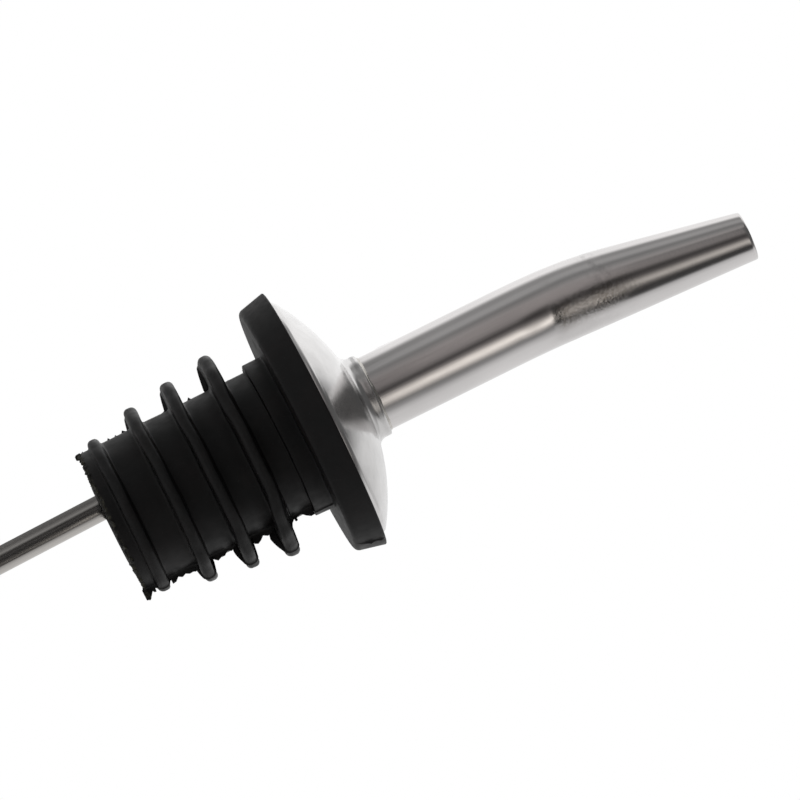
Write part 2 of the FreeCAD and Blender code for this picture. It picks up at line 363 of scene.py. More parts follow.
def flash_height(r0, z0, angle, normal_r, normal_z):
    """How far the flash stands out: a thin ragged fin on two sides, where the mould's halves met."""
    from_flash = (angle - math.radians(FLASH_ANGLE) + np.pi / 2) % np.pi - np.pi / 2
    near = np.cos(angle - math.radians(FLASH_ANGLE)) > 0
    along = z0[:, :, None] * [1, 0, 0]
    ragged = np.where(near, 0.4 * rumple(along, 1.3, 21) + 0.62, 0.6 * rumple(along, 0.8, 22) + 0.3)
    ragged = np.clip(ragged, 0.08, 1)
    outer_wall = (r0 > BODY_RADIUS - 0.2) * (z0 < FLANGE_THICKNESS - 0.3)
    fin_shape = np.exp(-((from_flash * r0 / FLASH_WIDTH) ** 2)) * outer_wall
    on_sides = 0 * z0
    for name, (below, above) in zip(RIB_NAMES, FLASH_ON_SIDES):
        from_rib = z0 - MOUNTS[name]["pos_m"][2] / MM
        crest = MOUNTS[name]["dims"]["r_mm"]
        web = np.where(from_rib < 0, below, above)
        web = web * (1 - np.clip((r0 - BODY_RADIUS) / (crest - BODY_RADIUS), 0, 1) ** 2)
        on_sides = np.where(np.abs(from_rib) < 1.2, web, on_sides)
    on_rib = on_sides * np.abs(normal_z) + FLASH_ON_CRESTS * np.abs(normal_r)
    rib_share = smoothstep((r0 - BODY_RADIUS) / 0.5)
    fin = FLASH_ON_BODY * ragged * (1 - rib_share) + on_rib * (0.8 + 0.2 * ragged) * rib_share
    return np.where(z0 > -0.2, FLASH_ON_FLANGE * ragged, fin) * fin_shape * np.where(near, 1.0, 0.7)


def torn_end(r0, z0, angle, base):
    """How the torn lower end moves: outwards, upwards, and where it is, from 0 to 1.

    It is slanted and rough, with a ragged lip round its rim and one spur.
    """
    slant = smoothstep((BODY_END_Z + 1.6 - z0) / 1.6)
    slant = slant * (0.3 + 0.7 * smoothstep((r0 - BORE_RADIUS) / (BODY_RADIUS - BORE_RADIUS)))
    torn = smoothstep((BODY_END_Z + 0.5 - z0) / 0.35) * smoothstep((r0 - BORE_RADIUS - 0.1) / 0.5)
    rim = torn * smoothstep((r0 - BODY_RADIUS + 0.6) / 0.45)
    tears = ripple(angle, 9, 70, 31)
    lip = np.clip(tears + 0.1, 0, 1.4) ** 1.6
    spur = np.exp(-((np.minimum(angle, 2 * np.pi - angle) / 0.07) ** 2))
    outwards = rim * (TORN_LIP * lip + TORN_SPUR * spur - 0.05)
    rough = 0.6 * rumple(base, 1.1, 32, 60) + 0.4 * rumple(base, 0.45, 33, 60)
    depth = TORN_DEPTH * (1 - 0.6 * base[:, :, 0] / BODY_RADIUS)
    upwards = torn * depth * (1 + rough) + rim * TORN_TEARS * tears
    upwards = upwards + TORN_SLANT * slant * (BODY_RADIUS + base[:, :, 1]) / (2 * BODY_RADIUS)
    return outwards, upwards, torn


def make_stopper():
    """Rubber moulding with its torn lower end, mould flash and slightly uneven ribs."""
    profile = thin_bore(stopper_outline())
    ahead = np.roll(profile, -1, 0) - np.roll(profile, 1, 0)
    ahead /= np.linalg.norm(ahead, axis=1)[:, None]
    normal_r = ahead[:, 1][:, None]
    normal_z = -ahead[:, 0][:, None]
    angles = stopper_angles()
    angle = angles[None, :]
    r0 = profile[:, 0][:, None]
    z0 = profile[:, 1][:, None]
    base = np.stack([r0 * np.cos(angle), r0 * np.sin(angle), z0 + 0 * angle], -1)

    radii, heights = moulded(r0, z0, base)
    fin = flash_height(r0, z0, angle, normal_r, normal_z)
    radii = radii + fin * normal_r
    heights = heights + fin * normal_z * (z0 < -0.3)
    outwards, upwards, torn = torn_end(r0, z0, angle, base)
    radii = radii + outwards
    heights = np.maximum(heights + upwards, BODY_END_Z)

    on_ribs = (r0 > BODY_RADIUS + 0.2) * (z0 < -SPIGOT_LENGTH - 0.1)
    worn = smoothstep((normal_r - 0.7) / 0.25) * on_ribs
    return lathed("stopper_rubber", radii, heights, angles, {
        "raw": np.broadcast_to(torn, radii.shape),
        "worn": np.broadcast_to(worn, radii.shape),
    })


# ---------------------------------------------------------------- spout tube

def spout_centreline():
    """Distances, centres and unit tangents from the stem's end to the tip."""
    step = 0.02
    fine = np.arange(STEM_END_Z, TIP_Z + 5.0, step)
    turn = math.radians(BEND_ANGLE) * smoothstep((fine - BEND_CENTRE) / BEND_LENGTH + 0.5)
    x = np.cumsum(np.sin(turn)) * step
    z = STEM_END_Z + np.cumsum(np.cos(turn)) * step
    end = np.interp(TIP_Z, z, fine)
    stretches = []
    start = STEM_END_Z
    for stop, ring_step in SPOUT_RINGS:
        stretches.append(np.arange(start, stop, ring_step))
        start = stop
    stretches.append(np.linspace(start, end, TIP_RING_COUNT))
    distance = np.concatenate(stretches)
    centre = np.stack([
        np.interp(distance, fine, x), 0 * distance, np.interp(distance, fine, z)
    ], -1)
    angle = np.interp(distance, fine, turn)
    tangent = np.stack([np.sin(angle), 0 * angle, np.cos(angle)], -1)
    return distance, centre, tangent


def spout_radius(distance, end):
    """Outside radius: parallel, then a straight taper to the tip with a soft start."""
    slope = (TUBE_RADIUS - TIP_RADIUS) / (end - TAPER_START)
    return TUBE_RADIUS - slope * softplus(distance - TAPER_START, TAPER_SOFTNESS)


def tube_rings(centres, tangents, radii, angles):
    """Rings of points round a centreline that stays in the XZ plane."""
    across = np.stack([tangents[:, 2], 0 * tangents[:, 1], -tangents[:, 0]], -1)
    side = np.array([0.0, 1.0, 0.0])
    ring = across[:, None, :] * np.cos(angles)[None, :, None]
    ring = ring + side * np.sin(angles)[None, :, None]
    radii = np.broadcast_to(radii, ring.shape[:2])
    return centres[:, None, :] + ring * radii[:, :, None]


def swage_marks(distance, angles, points):
    """How far the swaging tool's step, rings and grain stand in from the smooth surface."""
    s = distance[:, None] + 0.05 * ripple(angles, 1, 4, 91)[None, :]
    middle, half_width, fade = np.radians(SWAGE_PATCH)
    off_middle = np.abs((angles - middle + np.pi) % (2 * np.pi) - np.pi)
    patch = smoothstep((half_width + fade - off_middle) / fade)
    first, edge, last, deep = SWAGE_STEP
    depth = deep * smoothstep((s - first) / (edge - first)) * smoothstep((last - s) / (last - edge))
    depth = depth * patch
    for i, (place, ring_width, ring_depth) in enumerate(SWAGE_RINGS):
        uneven = 1 + 0.25 * ripple(angles, 1, 6, 71 + i)[None, :]
        wander = 0.12 * ripple(angles, 1, 4, 81 + i)[None, :]
        depth += ring_depth * uneven * np.exp(-((s - place - wander) / ring_width) ** 2)
    start, rise, end, fall = SWAGE_SANDY
    sandy = smoothstep((s - start) / rise) * (1 - smoothstep((s - end) / fall))
    return depth + sandy * (0.15 + 0.85 * patch) * SWAGE_GRAIN * rumple(points, 0.42, 75, 70)


def slanted_end(rings, distance, centre, tangent):
    """Draws the last rings out along the tube until they end in the slanted cut's plane."""
    turn = math.radians(TIP_CUT_ANGLE)
    plane = np.array([math.sin(turn), 0, math.cos(turn)])
    missing = (centre - rings) @ plane / (tangent @ plane)
    at_tip = missing[-1]
    share = np.clip((distance - distance[-1]) / TIP_CUT_REACH + 1, 0, 1)
    return rings + (share[:, None] * at_tip[None, :])[:, :, None] * tangent


def rounded_end(start, stop, outwards, edge, shares):
    """Rings from one wall's end to the other's, which bulge outwards by up to the edge."""
    return [
        start * (1 - share) + stop * share + outwards * (math.sin(share * math.pi) ** 0.5 * edge)
        for share in shares
    ]


def capped_tube(outside, inside, name, edge=0.12):
    """A tube wall from its outer rings and inner rings, joined by rounded ends."""
    top_way = outside[-1].mean(0) - outside[-2].mean(0)
    end_way = outside[0].mean(0) - outside[1].mean(0)
    top_way /= np.linalg.norm(top_way)
    end_way /= np.linalg.norm(end_way)
    outer = outside.copy()
    inner = inside.copy()
    for rings in (outer, inner):
        rings[-1] -= top_way * edge
        rings[0] -= end_way * edge
    top = rounded_end(outer[-1], inner[-1], top_way, edge, (0.15, 0.5, 0.85))
    end = rounded_end(inner[0], outer[0], end_way, edge, (0.15, 0.5, 0.85))
    points = np.array([*outer, *top, *inner[::-1], *end])
    return mesh_object(name, points.reshape(-1, 3), grid_faces(*points.shape[:2]))


def make_spout():
    """The whole tube, with the vent cut through its wall."""
    angles = even_angles(SPOUT_COLUMNS)
    distance, centres, tangents = spout_centreline()
    outer_radius = spout_radius(distance, distance[-1])
    wall_share = smoothstep((distance - TAPER_START) / (distance[-1] - TAPER_START))
    inner_radius = outer_radius - TUBE_WALL - (TIP_WALL - TUBE_WALL) * wall_share
    smooth = tube_rings(centres, tangents, outer_radius[:, None], angles)
    marked = outer_radius[:, None] - swage_marks(distance, angles, smooth)
    outside = tube_rings(centres, tangents, marked, angles)
    coarse = np.r_[0:len(distance) - 1:INSIDE_KEEPS, len(distance) - 1]
    inside = tube_rings(centres[coarse], tangents[coarse], inner_radius[coarse][:, None], angles)
    outside = slanted_end(outside, distance, centres[-1], tangents[-1])
    inside = slanted_end(inside, distance[coarse], centres[-1], tangents[-1])
    spout = capped_tube(outside, inside, "spout_steel")
    cutter = vent_cutter()
    cut = spout.modifiers.new("vent", "BOOLEAN")
    cut.object = cutter
    cut.solver = "EXACT"
    bake_modifiers(spout)
    bpy.data.objects.remove(cutter)
    shade(spout.data)
    return spout


def bake_modifiers(piece):
    """Replaces a piece's mesh by its evaluated one and drops the modifiers."""
    graph = bpy.context.evaluated_depsgraph_get()
    made = bpy.data.meshes.new_from_object(piece.evaluated_get(graph))
    old = piece.data
    piece.modifiers.clear()
    piece.data = made
    made.name = piece.name
    bpy.data.meshes.remove(old)


# ---------------------------------------------------------------- vent and breather

def turned(points):
    """Points of the XZ plane's breather, turned about the Z axis to where it is."""
    turn = math.radians(BREATHER_TURN)
    x, y, z = points[..., 0], points[..., 1], points[..., 2]
    return np.stack([
        x * math.cos(turn) - y * math.sin(turn), x * math.sin(turn) + y * math.cos(turn), z
    ], -1)


def vent_line(reach, rho, angle):
    """Point at a reach along the breather's way out, on the line rho off its centreline."""
    turn = np.minimum(reach / VENT_BEND_RADIUS, math.radians(VENT_ANGLE))
    run = reach - turn * VENT_BEND_RADIUS
    off = rho * np.cos(angle)
    x = off * np.cos(turn) - VENT_BEND_RADIUS * (1 - np.cos(turn)) - run * np.sin(turn)
    z = off * np.sin(turn) + VENT_BEND_RADIUS * np.sin(turn) + run * np.cos(turn)
    return np.stack([x - BREATHER_OFFSET, rho * np.sin(angle) + 0 * x, z + VENT_BEND_START_Z], -1)


def vent_reach(rho, angle, radius):
    """How far along such a line it meets a cylinder about the Z axis, found by halving."""
    low = 0.0 * rho * angle
    high = low + VENT_FAR
    for _ in range(40):
        middle = (low + high) / 2
        place = vent_line(middle, rho, angle)
        inside = np.hypot(place[..., 0], place[..., 1]) < radius
        low = np.where(inside, middle, low)
        high = np.where(inside, high, middle)
    return low


def vent_cutter():
    """A closed rod along the breather's way out, a little wider than the breather."""
    angles = even_angles(BREATHER_COLUMNS)
    reaches = np.linspace(0, VENT_CUT_REACH, 24)[:, None]
    rings = turned(vent_line(reaches, VENT_HOLE_RADIUS, angles[None, :]))
    count = len(angles)
    faces = []
    for i in range(len(reaches) - 1):
        row = i * count
        for j in range(count):
            beside = (j + 1) % count
            faces.append((row + j, row + beside, row + count + beside, row + count + j))
    last = (len(reaches) - 1) * count
    faces += [tuple(range(count))[::-1], tuple(range(last, last + count))]
    return mesh_object("vent_cutter", rings.reshape(-1, 3), faces)


def breather_centreline():
    """Centres and tangents from the lower end up to where the bend to the vent starts."""
    lean = math.radians(BREATHER_LEAN)
    centre_x = BREATHER_LEAN_BEND - BREATHER_OFFSET
    lean_x = centre_x - BREATHER_LEAN_BEND * math.cos(lean)
    lean_z = BREATHER_LEAN_TOP_Z - BREATHER_LEAN_BEND * math.sin(lean)
    heights = np.linspace(BREATHER_END_Z, lean_z, 26)[:-1]
    turns = np.linspace(-lean, 0, 5)
    upright = np.linspace(BREATHER_LEAN_TOP_Z, VENT_BEND_START_Z, 18)[1:]
    x = np.concatenate([
        lean_x + (lean_z - heights) * math.tan(lean),
        centre_x - BREATHER_LEAN_BEND * np.cos(turns),
        np.full(len(upright), -BREATHER_OFFSET),
    ])
    z = np.concatenate([
        heights, BREATHER_LEAN_TOP_Z + BREATHER_LEAN_BEND * np.sin(turns), upright
    ])
    turn = np.concatenate([np.full(len(heights), -lean), turns, 0 * upright])
    tangents = np.stack([np.sin(turn), 0 * turn, np.cos(turn)], -1)
    return np.stack([x, 0 * x, z], -1), tangents


def make_breather():
    """Thin tube, rounded at its lower end and ground flush with the spout at the vent."""
    angles = even_angles(BREATHER_COLUMNS)
    centres, tangents = breather_centreline()
    shares = np.linspace(0, 1, 22)[1:, None]
    walls = []
    for radius in (BREATHER_RADIUS, BREATHER_RADIUS - BREATHER_WALL):
        rings = tube_rings(centres, tangents, radius, angles)
        reaches = shares * vent_reach(radius, angles, TUBE_RADIUS)[None, :]
        walls.append(np.concatenate([rings, vent_line(reaches, radius, angles[None, :])]))
    outer, inner = walls
    edge = 0.1
    end_way = np.array([0, 0, -1.0])
    outer[0] -= end_way * edge
    inner[0] -= end_way * edge
    lip = rounded_end(inner[0], outer[0], end_way, edge, (0.2, 0.5, 0.8))
    points = turned(np.array([*outer, *inner[::-1], *lip]))
    return mesh_object("breather_steel", points.reshape(-1, 3), grid_faces(*points.shape[:2]))


def make_vent_braze():
    """Braze that fills the gap round the breather, a low bead outside and a fillet inside."""
    inner_wall = TUBE_RADIUS - TUBE_WALL
    section = [
        (BREATHER_RADIUS, TUBE_RADIUS - 0.02),
        (1.48, TUBE_RADIUS + 0.02),
        (1.56, TUBE_RADIUS + 0.035),
        (1.66, TUBE_RADIUS + 0.015),
        (1.7, TUBE_RADIUS - 0.01),
        (1.56, TUBE_RADIUS - 0.06),
        (1.55, inner_wall + 0.02),
        (1.6, inner_wall - 0.02),
        (1.54, inner_wall - 0.07),
        (BREATHER_RADIUS, inner_wall - 0.1),
    ]
    angles = even_angles(VENT_BRAZE_COLUMNS)
    wander = ripple(angles, 2, 9, 41)
    rows = []
    for rho, radius in section:
        rhos = rho + 0.25 * max(0.0, rho - 1.5) * wander
        rows.append(vent_line(vent_reach(rhos, angles, radius), rhos, angles))
    points = turned(np.array(rows))
    return mesh_object("vent_braze", points.reshape(-1, 3), grid_faces(*points.shape[:2]))


# ---------------------------------------------------------------- dome and its braze

def arc_points(centre, start, end, count):
    """Points of the shorter arc about a centre, both ends included."""
    a0 = math.atan2(start[1] - centre[1], start[0] - centre[0])
    a1 = math.atan2(end[1] - centre[1], end[0] - centre[0])
    turn = (a1 - a0 + math.pi) % (2 * math.pi) - math.pi
    radius = math.hypot(start[0] - centre[0], start[1] - centre[1])
    return [
        (centre[0] + radius * math.cos(a), centre[1] + radius * math.sin(a))
        for a in np.linspace(a0, a0 + turn, count)
    ]


def dome_side(inset):
    """One side of the dome's sheet, from its foot to the neck's lip."""
    rim_top = FLANGE_THICKNESS + DOME_RIM_HEIGHT
    sphere_z = rim_top - math.sqrt(DOME_SPHERE_RADIUS ** 2 - DOME_RIM_RADIUS ** 2)
    sphere = DOME_SPHERE_RADIUS - inset
    fillet = NECK_FILLET + inset
    neck = TUBE_RADIUS + CLEARANCE + DOME_SHEET - inset
    rim = DOME_RIM_RADIUS - inset
    across = neck + fillet
    fillet_z = sphere_z + math.sqrt((sphere + fillet) ** 2 - across ** 2)
    shoulder = (rim, sphere_z + math.sqrt(sphere ** 2 - rim ** 2))
    share = sphere / (sphere + fillet)
    tangent = (across * share, sphere_z + (fillet_z - sphere_z) * share)
    cap = arc_points((0, sphere_z), shoulder, tangent, 40)
    neck_foot = arc_points((across, fillet_z), tangent, (neck, fillet_z), 9)[1:]
    foot = [(rim, FLANGE_THICKNESS + CLEARANCE), (rim, shoulder[1] - 0.22)]
    return foot, cap, neck_foot


def softened(points, passes):
    """Rounds the corners of an open polyline by averaging, with its ends held."""
    points = np.array(points, float)
    for _ in range(passes):
        points[1:-1] = (points[:-2] + 2 * points[1:-1] + points[2:]) / 4
    return points


def make_dome():
    """Pressed cap: short rounded rim, shallow crown and a drawn neck with a rolled lip."""
    sides = []
    for inset in (0, DOME_SHEET):
        foot, cap, neck = dome_side(inset)
        rise = [(neck[-1][0], z) for z in np.linspace(neck[-1][1], NECK_TOP_Z - 0.12, 5)[1:]]
        sides.append(np.concatenate([softened(foot + cap[:6], 2), cap[6:], neck, rise]))
    outer, inner = sides
    lip = [
        (outer[-1][0] - 0.03, NECK_TOP_Z - 0.04),
        (outer[-1][0] - 0.11, NECK_TOP_Z),
        (inner[-1][0] + 0.11, NECK_TOP_Z),
        (inner[-1][0] + 0.03, NECK_TOP_Z - 0.04),
    ]
    foot_middle = [((inner[0][0] + outer[0][0]) / 2, FLANGE_THICKNESS)]
    profile = np.concatenate([outer, lip, inner[::-1], foot_middle])
    angles = even_angles(DOME_COLUMNS)
    r0 = profile[:, 0][:, None]
    z0 = profile[:, 1][:, None]
    crown = smoothstep((DOME_RIM_RADIUS - r0) / 3) * smoothstep((r0 - 5.5) / 2)
    heights = z0 + crown * 0.015 * ripple(angles, 2, 5, 51)[None, :]
    radii = r0 + 0 * angles[None, :]
    return lathed("dome_steel", radii, heights, angles)


def make_neck_braze():
    """Uneven little fillet of braze on the neck's lip."""
    angles = even_angles(NECK_BRAZE_COLUMNS)
    level = NECK_TOP_Z - CLEARANCE
    corners = [
        (TUBE_RADIUS + 0.005, level, 0),
        (TUBE_RADIUS + 0.24, level, 0.03),
        (TUBE_RADIUS + 0.1, level + 0.12, 0.05),
        (TUBE_RADIUS + 0.01, level + 0.3, 0),
    ]
    profile = outline(corners, 0.08)
    r0 = profile[:, 0][:, None]
    z0 = profile[:, 1][:, None]
    swell = 1 + 0.25 * ripple(angles, 3, 24, 61)[None, :]
    radii = TUBE_RADIUS + (r0 - TUBE_RADIUS) * np.clip(swell, 0.6, 1.25)
    heights = level + (z0 - level) * np.clip(swell, 0.6, 1.05)
    return lathed("neck_braze", radii, heights, angles)


# ---------------------------------------------------------------- materials

class Nodes:
    """Short way to write a material's or a world's node tree, with lengths in millimetres."""

    def __init__(self, tree):
        self.tree = tree
        tree.nodes.clear()

    def add(self, kind, settings=None, **inputs):
        """A new node: its settings, and its inputs by name or as i and a number."""
        node = self.tree.nodes.new(kind)
        for key, value in (settings or {}).items():
            setattr(node, key, value)
        for key, value in inputs.items():
            self.put(node, key, value)
        return node

    def put(self, node, key, value):
        """Links a socket to a node's input, or sets the input to a plain value."""
        index = int(key[1:]) if key[0] == "i" and key[1:].isdigit() else key.replace("_", " ")
        socket = node.inputs[index]
        if isinstance(value, bpy.types.NodeSocket):
            self.tree.links.new(value, socket)
        else:
            socket.default_value = value

    def position(self, stretch=(1.0, 1.0, 1.0)):
        """Position in the part's frame, in millimetres, squeezed by stretch."""
        place = self.add("ShaderNodeTexCoord").outputs["Object"]
        scale = [s / MM for s in stretch]
        node = self.add("ShaderNodeVectorMath", {"operation": "MULTIPLY"}, i0=place, i1=scale)
        return node.outputs[0]

    def noise(self, size, detail=2.0, stretch=(1.0, 1.0, 1.0), roughness=0.5):
        """Noise between 0 and 1 with features of about size millimetres."""
        node = self.add(
            "ShaderNodeTexNoise",
            Vector=self.position(stretch), Scale=1.0 / size, Detail=detail, Roughness=roughness,
        )
        return node.outputs[0]

    def ramp(self, value, low, high, to_low=0.0, to_high=1.0):
        """A clamped, smooth map of a value from low..high to to_low..to_high."""
        node = self.add(
            "ShaderNodeMapRange", {"interpolation_type": "SMOOTHSTEP"},
            i0=value, i1=low, i2=high, i3=to_low, i4=to_high,
        )
        return node.outputs[0]

    def share(self, value, low, high):
        """A clamped straight map of a value from low..high to 0..1."""
        return self.add("ShaderNodeMapRange", i0=value, i1=low, i2=high).outputs[0]

    def bands(self, value, low, high, stops, tint=(1.0, 1.0, 1.0)):
        """Light levels at the stops (value, level), blended in between."""
        node = self.add("ShaderNodeValToRGB", i0=self.share(value, low, high))
        elements = node.color_ramp.elements
        while len(elements) > 1:
            elements.remove(elements[-1])
        for i, (place, level) in enumerate(stops):
            position = (place - low) / (high - low)
            stop = elements[0] if i == 0 else elements.new(position)
            stop.position = position
            stop.color = (*[level * t for t in tint], 1.0)
        return node.outputs[0]

    def math(self, operation, a, b=0.0):
        node = self.add("ShaderNodeMath", {"operation": operation}, i0=a, i1=b)
        return node.outputs[0]

    def times(self, first, *others):
        """The product of several values."""
        for other in others:
            first = self.math("MULTIPLY", first, other)
        return first

    def window(self, value, outer_low, low, high, outer_high):
        """1 from low to high, 0 outside the outer limits, and smooth in between."""
        rise = self.ramp(value, outer_low, low)
        return self.times(rise, self.ramp(value, high, outer_high, 1.0, 0.0))

    def mix(self, share, a, b):
        """A colour between a and b, each a socket or three plain numbers."""
        node = self.add("ShaderNodeMix", {"data_type": "RGBA"}, i0=share)
        for key, value in (("i6", a), ("i7", b)):
            self.put(node, key, (*value, 1.0) if isinstance(value, tuple) else value)
        return node.outputs[2]

    def blend(self, way, a, b):
        """Two colours added or multiplied."""
        node = self.add("ShaderNodeMix", {"data_type": "RGBA", "blend_type": way}, i0=1.0, i6=a, i7=b)
        return node.outputs[2]

    def bump(self, height, distance, strength, below=None):
        """A normal that follows a height, on top of the one below."""
        node = self.add("ShaderNodeBump", Height=height, Distance=distance * MM, Strength=strength)
        if below is not None:
            self.put(node, "Normal", below)
        return node.outputs[0]

    def attribute(self, name):
        """One of the mesh's named point values."""
        return self.add("ShaderNodeAttribute", {"attribute_name": name}).outputs["Fac"]


def material(metallic, colour, roughness, normal, nodes, **constants):
    """Ends a material's tree with one shader; constants are its plain socket values."""
    shader = nodes.add(
        "ShaderNodeBsdfPrincipled",
        Base_Color=colour, Roughness=roughness, Normal=normal, Metallic=metallic,
    )
    for key, value in constants.items():
        nodes.put(shader, key, value)
    out = nodes.add("ShaderNodeOutputMaterial")
    nodes.tree.links.new(shader.outputs[0], out.inputs[0])


def new_tree(name):
    """A new material and the nodes to fill in."""
    made = bpy.data.materials.new(name)
    made.use_nodes = True
    return made, Nodes(made.node_tree)


def rubber_material():
    """Near-black moulded rubber: dull, faintly brown in patches, olive where it is torn."""
    made, n = new_tree("stopper_rubber")
    patches = n.ramp(n.noise(3.5, 3.0), 0.35, 0.7)
    colour = n.mix(patches, (0.0042, 0.0041, 0.0044), (0.0072, 0.0058, 0.0060))
    specks = n.ramp(n.noise(0.17, 1.0), 0.68, 0.78)
    colour = n.mix(n.times(specks, 0.3), colour, (0.05, 0.048, 0.047))
    scuffed = n.ramp(n.noise(0.5, 4.0, roughness=0.65), 0.35, 0.65, 0.35, 1.0)
    colour = n.mix(n.times(n.attribute("worn"), scuffed, 0.5), colour, (0.019, 0.0185, 0.019))
    mottle = n.ramp(n.noise(0.6, 4.0, roughness=0.7), 0.46, 0.6)
    torn = n.mix(mottle, (0.007, 0.0066, 0.0062), (0.045, 0.042, 0.028))
    raw = n.attribute("raw")
    colour = n.mix(raw, colour, torn)
    roughness = n.ramp(n.noise(1.1, 4.0), 0.25, 0.75, 0.40, 0.52)
    roughness = n.math("ADD", roughness, n.times(raw, 0.2))
    peel = n.bump(n.noise(0.8, 3.0), 0.04, 0.35)
    grain = n.bump(n.noise(0.14, 3.0), 0.012, 0.6, peel)
    tear = n.bump(n.noise(0.4, 5.0, roughness=0.7), 0.12, 0.5, grain)
    normal = n.add("ShaderNodeMix", {"data_type": "VECTOR"})
    n.put(normal, "i0", raw)
    n.put(normal, "i4", grain)
    n.put(normal, "i5", tear)
    material(0.0, colour, roughness, normal.outputs[1], n, Specular_IOR_Level=0.25)
    return made


def swaged_look(n, tint, colour, roughness, normal):
    """Colour, roughness and normal where the tool worked: a sandy stretch with a darker patch, a
    stain that is also painted shade, lighter in its middle as a painted highlight.
    """
    place = n.add("ShaderNodeSeparateXYZ", i0=n.position())
    x, y, height = place.outputs
    sandy = n.times(n.ramp(height, 30.2, 31.5), n.ramp(height, 36.0, 42.0, 1.0, 0.12))
    clouds = n.ramp(n.noise(1.2, 3.0, (1.0, 1.0, 0.6)), 0.35, 0.7)
    roughness = n.math("ADD", roughness, n.times(sandy, clouds, 0.12))

    # the patch, on the side of the bend and towards -Y, is sandier than the rest
    patch = n.times(n.window(x, -0.4, 0.8, 2.2, 3.6), n.ramp(y, -2.5, -0.5, 1.0, 0.0))
    gritty = n.times(sandy, n.ramp(patch, 0.0, 1.0, 0.15, 1.0))
    grit = n.noise(0.28, 3.0, roughness=0.6)
    normal = n.bump(n.times(grit, gritty), 0.03, 0.5, normal)

    # and darker in specks, a stain that is also painted shade over its reflections, with less of it
    # in its middle as a painted highlight
    painted_highlight_middle = n.window(height, 32.1, 33.2, 35.2, 36.4)
    specks = n.ramp(n.noise(0.3, 3.0), 0.4, 0.6, 0.6, 1.0)
    specks = n.math("SUBTRACT", specks, n.times(painted_highlight_middle, 0.3))
    stain_and_painted_shade = tuple(c * t for c, t in zip(tint, (0.5, 0.47, 0.43)))
    colour = n.mix(n.times(patch, specks, sandy, 0.75), colour, stain_and_painted_shade)

    # dull streaks round the tube where the swaging tool stopped, whose darker colour is painted shade
    ends = n.times(n.window(height, 35.6, 36.6, 37.8, 39.2), n.ramp(x, 0.4, 1.8, 1.0, 0.0))
    dull = n.times(ends, n.ramp(n.noise(1.2, 3.0, (0.7, 0.7, 1.3)), 0.4, 0.7))
    roughness = n.math("ADD", roughness, n.times(dull, 0.06))
    colour = n.mix(n.times(dull, 0.45), colour, tuple(0.55 * c for c in tint))
    return colour, roughness, normal


def steel_material(name, tint, rough, swaged=False):
    """Polished stainless tube with fine lines along it, and the swaging tool's marks if any, among
    them painted shade and a painted highlight.
    """
    made, n = new_tree(name)
    lines = n.noise(0.09, 2.0, (1.0, 1.0, 0.03))
    broad = n.noise(4.0, 2.0, (1.0, 1.0, 0.4))
    darker = tuple(0.93 * c for c in tint)
    colour = n.mix(n.ramp(broad, 0.3, 0.7), darker, tint)
    roughness = n.ramp(lines, 0.25, 0.75, rough, rough + 0.03)
    normal = n.bump(lines, 0.001, 0.2)
    if swaged:
        colour, roughness, normal = swaged_look(n, tint, colour, roughness, normal)
    material(1.0, colour, roughness, normal, n)
    return made


def dome_material():
    """Pressed sheet with a soft polish and faint rings from the lathe."""
    made, n = new_tree("dome_steel")
    place = n.add("ShaderNodeSeparateXYZ", i0=n.position())
    radius = n.add("ShaderNodeVectorMath", {"operation": "LENGTH"})
    flat = n.add("ShaderNodeCombineXYZ", i0=place.outputs[0], i1=place.outputs[1])
    n.put(radius, "i0", flat.outputs[0])
    rings = n.add("ShaderNodeTexNoise", {"noise_dimensions": "1D"}, Scale=7.0, Detail=2.0)
    n.put(rings, "W", radius.outputs[1])
    colour = n.mix(n.ramp(n.noise(3.0, 3.0), 0.3, 0.7), (0.60, 0.59, 0.585), (0.68, 0.67, 0.665))
    roughness = n.ramp(n.noise(0.7, 4.0), 0.25, 0.75, 0.15, 0.22)
    normal = n.bump(rings.outputs[0], 0.003, 0.3)
    material(1.0, colour, roughness, normal, n)
    return made


def braze_material():
    """Silver braze: softer and greyer than the steel, with a lightly wrinkled skin."""
    made, n = new_tree("braze")
    colour = n.mix(n.noise(0.4, 3.0), (0.46, 0.44, 0.41), (0.6, 0.58, 0.55))
    roughness = n.ramp(n.noise(0.3, 3.0), 0.3, 0.7, 0.2, 0.34)
    normal = n.bump(n.noise(0.2, 3.0), 0.02, 0.4)
    material(1.0, colour, roughness, normal, n)
    return made


# ---------------------------------------------------------------- studio

def make_camera():
    """A long lens turned so that the spout points up to the right."""
    below = math.radians(CAMERA_BELOW)
    target = Vector(CAMERA_TARGET) * MM
    away = Vector((0, -math.cos(below), -math.sin(below)))
    along = (Vector((0, 0, 1)) - away * away.z).normalized()
    down = along.cross(away)
    turn = math.radians(AXIS_IN_PICTURE)
    right = math.cos(turn) * along + math.sin(turn) * down
    up = math.sin(turn) * along - math.cos(turn) * down
    camera = bpy.data.objects.new("camera", bpy.data.cameras.new("camera"))
    bpy.context.scene.collection.objects.link(camera)
    camera.matrix_world = Matrix.Translation(target + away * CAMERA_DISTANCE * MM) @ Matrix((
        (right.x, up.x, away.x),
        (right.y, up.y, away.y),
        (right.z, up.z, away.z),
    )).to_4x4()
    camera.data.sensor_width = SENSOR
    camera.data.lens = SENSOR * CAMERA_DISTANCE / CAMERA_FIELD
    camera.data.clip_start = CLIP_NEAR * MM
    camera.data.clip_end = CLIP_FAR * MM
    bpy.context.scene.camera = camera


